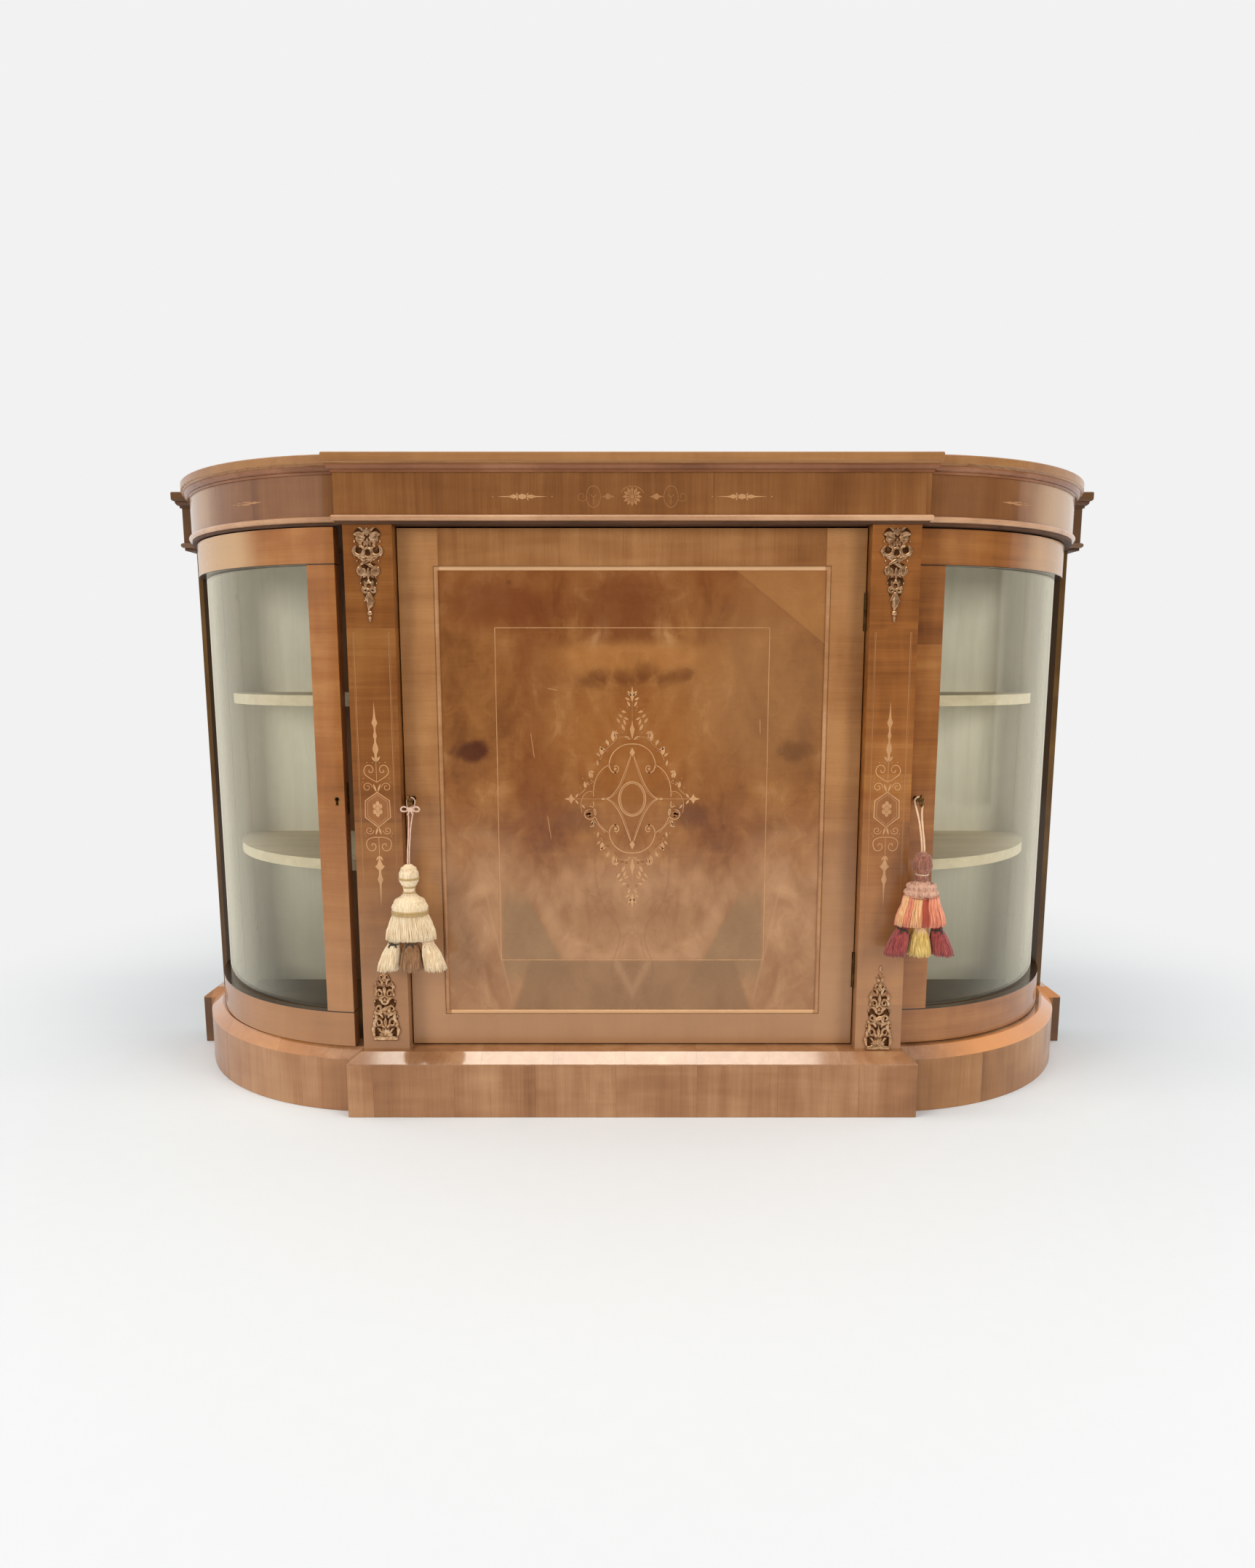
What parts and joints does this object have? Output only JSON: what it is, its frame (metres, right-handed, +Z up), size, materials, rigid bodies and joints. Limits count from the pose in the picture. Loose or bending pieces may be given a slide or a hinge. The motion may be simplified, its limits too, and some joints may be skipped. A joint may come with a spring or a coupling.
{
  "type": "breakfront credenza",
  "caption": "Breakfront walnut credenza with a panelled centre door between pilasters, bow-glazed end cupboards, curved plinth and frieze, and keys hung with tassels.",
  "frame": {"origin": "middle of the case on the floor, halfway between the plinth front and the back plane", "axes": "+X to the right seen from the front, +Y to the back, +Z up"},
  "size_m": [1.722, 0.466, 1.07],
  "materials": {
    "walnut": "french polished",
    "burr_walnut": "french polished",
    "carcass_wood": "plain stained",
    "lined_panel": "painted, matt",
    "lined_shelf": "painted, matt",
    "gilt_bronze": "gilt, rubbed",
    "brass": "aged satin",
    "glass": "clear, polished",
    "cream_silk": "twisted silk",
    "coral_silk": "twisted silk"
  },
  "bodies": {
    "case": {"plinth_front": "walnut", "plinth_end_left": "walnut", "plinth_end_right": "walnut", "plinth_back": "carcass_wood", "base_board": "walnut", "upright_left": "carcass_wood", "upright_right": "carcass_wood", "front_pilaster_left": "walnut", "front_pilaster_right": "walnut", "rear_post_left": "walnut", "rear_post_right": "walnut", "back_panel_centre": "carcass_wood", "back_panel_left": "lined_panel", "back_panel_right": "lined_panel", "top_board": "carcass_wood", "frieze_front": "walnut", "frieze_end_left": "walnut", "frieze_end_right": "walnut", "frieze_back": "carcass_wood", "frieze_bead": "walnut", "top_moulding": "walnut", "top_slab": "walnut", "shelf_left_lower": "lined_shelf", "shelf_left_upper": "lined_shelf", "shelf_right_lower": "lined_shelf", "shelf_right_upper": "lined_shelf", "centre_shelf": "carcass_wood", "shelf_pegs": "brass", "gilt_mounts_upper": "gilt_bronze", "gilt_mounts_lower": "gilt_bronze", "door_stops": "carcass_wood", "strike_plates": "brass", "case_hinge_leaves": "brass", "hinge_pins": "brass"},
    "centre_door": {"centre_door_frame": "walnut", "centre_door_panel": "burr_walnut", "centre_panel_bead": "walnut", "centre_lock_case": "brass", "centre_door_hinge_leaves": "brass"},
    "centre_bolt": {"centre_lock_bolt": "brass"},
    "centre_door_key": {"centre_key": "brass"},
    "cream_tassel_on_cord": {"cream_tassel_cord": "cream_silk", "cream_tassel": "cream_silk"},
    "right_door": {"right_door_frame": "walnut", "right_door_glass": "glass", "right_glazing_beads": "walnut", "right_lock_case": "brass", "right_door_hinge_leaves": "brass"},
    "right_bolt": {"right_lock_bolt": "brass"},
    "right_door_key": {"right_key": "brass"},
    "coral_tassel_on_cord": {"coral_tassel_cord": "coral_silk", "coral_tassel": "coral_silk"},
    "left_door": {"left_door_frame": "walnut", "left_door_glass": "glass", "left_glazing_beads": "walnut", "left_lock_case": "brass", "left_door_hinge_leaves": "brass"},
    "left_bolt": {"left_lock_bolt": "brass"}
  },
  "joints": [
    {"name": "centre_door_hinge", "type": "hinge", "parent": "case", "child": "centre_door", "pos_m": [0.374, -0.168, 0.5365], "axis": [0, 0, 1], "range_deg": [0, 90]},
    {"name": "right_door_hinge", "type": "hinge", "parent": "case", "child": "right_door", "pos_m": [0.81049, 0.169, 0.5365], "axis": [0, 0, 1], "range_deg": [0, 92]},
    {"name": "left_door_hinge", "type": "hinge", "parent": "case", "child": "left_door", "pos_m": [-0.81049, 0.169, 0.5365], "axis": [0, 0, -1], "range_deg": [-2.6, 90]},
    {"name": "centre_key_turn", "type": "hinge", "parent": "centre_door", "child": "centre_door_key", "pos_m": [-0.36, -0.167, 0.532], "axis": [0, -1, 0], "range_deg": [0, 180]},
    {"name": "centre_bolt_slide", "type": "slide", "parent": "centre_door", "child": "centre_bolt", "axis": [-1, 0, 0], "range_m": [0, 0.007]},
    {"name": "right_key_turn", "type": "hinge", "parent": "right_door", "child": "right_door_key", "pos_m": [0.467, -0.16482, 0.532], "axis": [0, -1, 0], "range_deg": [0, 180]},
    {"name": "right_bolt_slide", "type": "slide", "parent": "right_door", "child": "right_bolt", "axis": [-1, 0, 0], "range_m": [0, 0.007]},
    {"name": "left_bolt_slide", "type": "slide", "parent": "left_door", "child": "left_bolt", "axis": [0.999, -0.0454, 0], "range_m": [0, 0.007]},
    {"name": "cream_tassel_swing", "type": "hinge", "parent": "centre_door", "child": "cream_tassel_on_cord", "pos_m": [-0.36, -0.189, 0.532], "axis": [0, 1, 0], "range_deg": [-12, 12]},
    {"name": "coral_tassel_swing", "type": "hinge", "parent": "right_door", "child": "coral_tassel_on_cord", "pos_m": [0.467, -0.18682, 0.532], "axis": [0, 1, 0], "range_deg": [-12, 12]}
  ],
  "couplings": [
    {"joint": "centre_bolt_slide", "follows": "centre_key_turn", "m_per_rad": 0.002228},
    {"joint": "right_bolt_slide", "follows": "right_key_turn", "m_per_rad": 0.002228}
  ]
}
